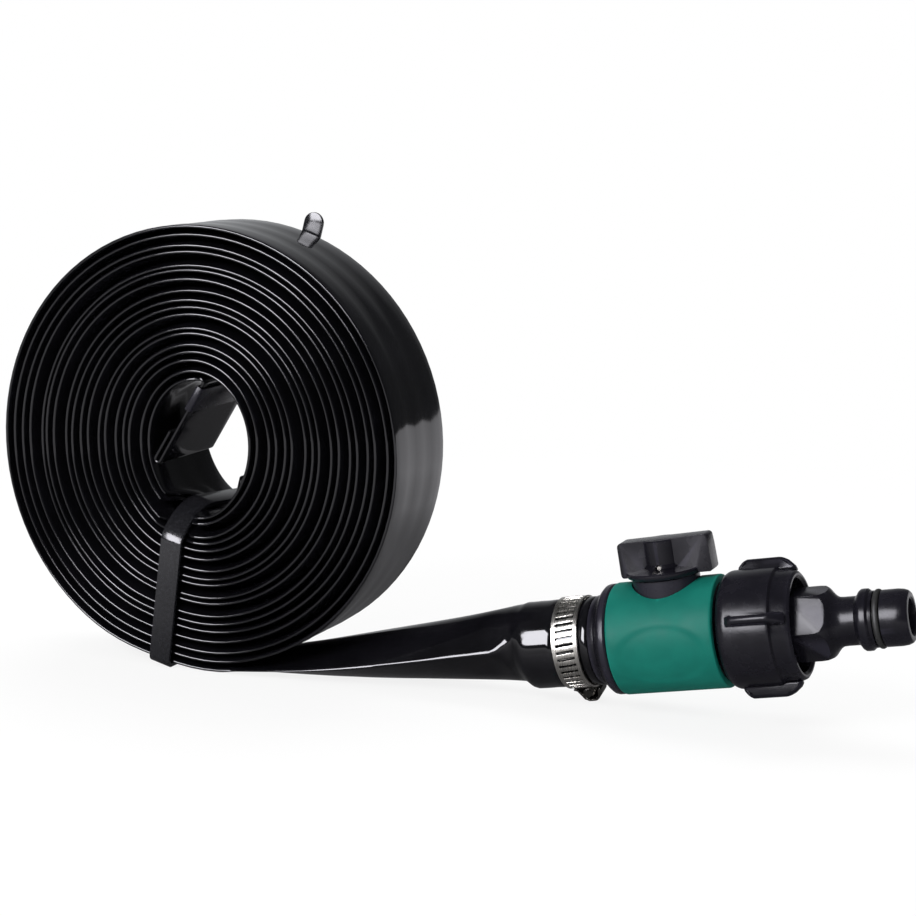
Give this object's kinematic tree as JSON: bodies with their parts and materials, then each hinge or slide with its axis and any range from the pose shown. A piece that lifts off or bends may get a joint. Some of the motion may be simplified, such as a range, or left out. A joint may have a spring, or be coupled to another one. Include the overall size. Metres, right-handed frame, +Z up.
{
  "type": "soaker hose with shut-off valve",
  "caption": "Flat soaker hose wound on a roll and tied, with a worm clamp, a ball valve with a lever and a quick-connect nipple.",
  "frame": {"origin": "middle of the footprint, on the surface the roll and the clamp stand on", "axes": "+X from the roll along the hose towards the nipple, +Y along the roll's axis away from the pictured side, +Z up"},
  "size_m": [0.2874, 0.0422, 0.1407],
  "materials": {
    "hose": "glossy black flexible sheet plastic",
    "tie": "half-gloss black nylon",
    "steel": "bright rolled steel",
    "black_plastic": "satin moulded black plastic",
    "green_grip": "satin green moulded grip",
    "seat": "smooth white low-friction plastic",
    "ball_chrome": "polished plated ball",
    "seal": "dull black rubber"
  },
  "bodies": {
    "base": {"hose_coil": "hose", "hose_folded_end": "hose", "end_sleeve": "black_plastic", "hose_lead": "hose", "cable_tie": "tie", "clamp_band": "steel", "clamp_housing": "steel", "valve_body": "black_plastic", "grip_sleeve": "green_grip", "ball_seat_inlet": "seat", "ball_seat_outlet": "seat", "tailpiece": "black_plastic", "body_oring": "seal", "nut_washer": "seal"},
    "lever": {"handle": "black_plastic", "handle_pin": "steel", "stem": "black_plastic", "stem_oring_lower": "seal", "stem_oring_upper": "seal", "ball": "ball_chrome"},
    "nut": {"swivel_nut": "black_plastic"},
    "nipple": {"nipple": "black_plastic", "nipple_oring": "seal"},
    "worm": {"clamp_screw": "steel"}
  },
  "joints": [
    {"name": "lever_turn", "type": "hinge", "parent": "base", "child": "lever", "pos_m": [0.07465, -0.00179, 0.0236], "axis": [-0.1822, 0, 0.9833], "range_deg": [0, 90]},
    {"name": "nut_turn", "type": "hinge", "parent": "base", "child": "nut", "pos_m": [0.09068, -0.00179, 0.02657], "axis": [-0.9833, 0, -0.1822], "range_deg": [0, 1080]},
    {"name": "nipple_slide", "type": "slide", "parent": "base", "child": "nipple", "axis": [0.9833, 0, 0.1822], "range_m": [0, 0.00545]},
    {"name": "worm_turn", "type": "hinge", "parent": "base", "child": "worm", "pos_m": [0.04841, 0.00143, 0.00332], "axis": [-0.0379, 0.9781, 0.2044], "continuous": true}
  ],
  "couplings": [
    {"joint": "nipple_slide", "follows": "nut_turn", "m_per_rad": 0.00028871}
  ]
}
